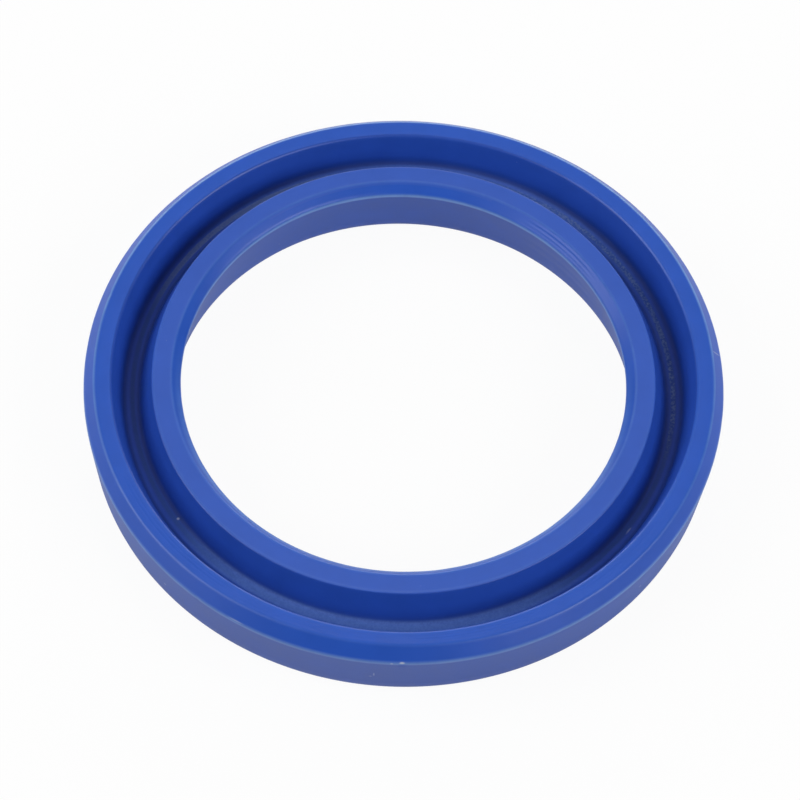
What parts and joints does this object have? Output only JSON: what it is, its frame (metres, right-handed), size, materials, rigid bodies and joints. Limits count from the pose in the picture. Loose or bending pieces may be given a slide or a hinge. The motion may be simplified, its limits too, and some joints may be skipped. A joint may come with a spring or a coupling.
{
  "type": "u cup seal",
  "caption": "Elastomer ring seal with a U section: a rounded heel, and bevelled inner and outer lips that lean away from each other around a tapered groove.",
  "frame": {"origin": "centre of the ring on the plane of its heel face", "axes": "+Z along the ring's axis, from the heel towards the open groove and the lips"},
  "size_m": [0.0428, 0.0428, 0.006],
  "materials": {
    "blue_elastomer": "satin cast polyurethane, cobalt blue"
  },
  "bodies": {
    "root": {"seal_ring": "blue_elastomer"}
  },
  "joints": []
}
